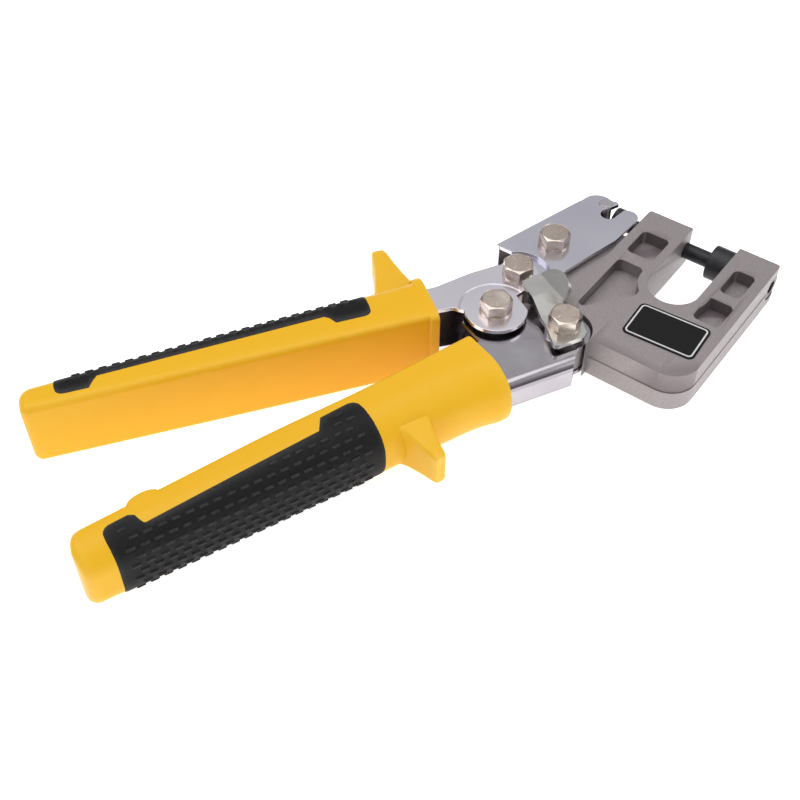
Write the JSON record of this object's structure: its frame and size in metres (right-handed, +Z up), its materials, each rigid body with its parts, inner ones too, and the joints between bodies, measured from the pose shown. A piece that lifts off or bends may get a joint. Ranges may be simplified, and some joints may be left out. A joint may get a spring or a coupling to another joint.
{
  "type": "metal stud punch pliers",
  "caption": "Compound-leverage hand punch pliers: two sleeved sheet-steel handles and a lever drive a round punch across a cast C frame into a die, with a swinging lock latch",
  "frame": {"origin": "centre of the footprint of the closed tool, on the plane it lies on", "axes": "+X along the arms of the C frame towards their tips, +Y across the arms towards the drive lever, +Z up along the pivot bolts"},
  "size_m": [0.245, 0.1686, 0.0317],
  "materials": {
    "cast_alloy": "satin, shot blasted",
    "label": "gloss",
    "black_steel": "satin black oxide",
    "grey_steel": "satin",
    "spring_steel": "satin",
    "polished_steel": "polished",
    "zinc_steel": "bright zinc",
    "nickel_steel": "bright nickel",
    "yellow_plastic": "semi gloss",
    "black_rubber": "matte"
  },
  "bodies": {
    "frame": {"cast_frame": "cast_alloy", "label_plate": "label", "die": "black_steel", "die_screw": "grey_steel", "punch_spring": "spring_steel", "lever_spacers": "zinc_steel", "lever_pivot_bolt": "nickel_steel", "lever_pivot_nut": "nickel_steel", "frame_pivot_bolt": "nickel_steel", "frame_pivot_nut": "nickel_steel", "latch_washer": "zinc_steel"},
    "lower_handle_body": {"lower_handle": "polished_steel", "lower_sleeve": "yellow_plastic", "lower_grip_pad": "black_rubber", "handle_pivot_bolt": "nickel_steel", "handle_pivot_nut": "nickel_steel", "handle_spacers": "zinc_steel"},
    "upper_handle_body": {"upper_handle": "polished_steel", "upper_sleeve": "yellow_plastic", "upper_grip_pad": "black_rubber", "link_bolt": "nickel_steel", "link_nut": "nickel_steel"},
    "lever_body": {"drive_lever": "polished_steel", "lever_nose_pin": "zinc_steel"},
    "punch_body": {"punch": "black_steel"},
    "latch_body": {"lock_latch": "zinc_steel"}
  },
  "joints": [
    {"name": "lower_handle_swing", "type": "hinge", "parent": "frame", "child": "lower_handle_body", "pos_m": [0.04483, -0.03853, 0.014], "axis": [0, 0, 1], "range_deg": [-1.3, 0]},
    {"name": "handle_opening", "type": "hinge", "parent": "lower_handle_body", "child": "upper_handle_body", "pos_m": [0.03713, -0.01563, 0.014], "axis": [0, 0, -1], "range_deg": [0, 22]},
    {"name": "lever_swing", "type": "hinge", "parent": "frame", "child": "lever_body", "pos_m": [0.07973, -0.01273, 0.014], "axis": [0, 0, 1], "range_deg": [0, 21.2]},
    {"name": "punch_slide", "type": "slide", "parent": "frame", "child": "punch_body", "axis": [0, 1, 0], "range_m": [0, 0.0114]},
    {"name": "latch_swing", "type": "hinge", "parent": "frame", "child": "latch_body", "pos_m": [0.04483, -0.03853, 0.023], "axis": [0, 0, 1], "range_deg": [-67, 0]}
  ],
  "couplings": [
    {"joint": "lower_handle_swing", "follows": "handle_opening", "ratio": -0.055},
    {"joint": "lever_swing", "follows": "handle_opening", "ratio": 0.955},
    {"joint": "punch_slide", "follows": "handle_opening", "m_per_rad": 0.0294},
    {"joint": "latch_swing", "follows": "handle_opening", "ratio": -3}
  ]
}
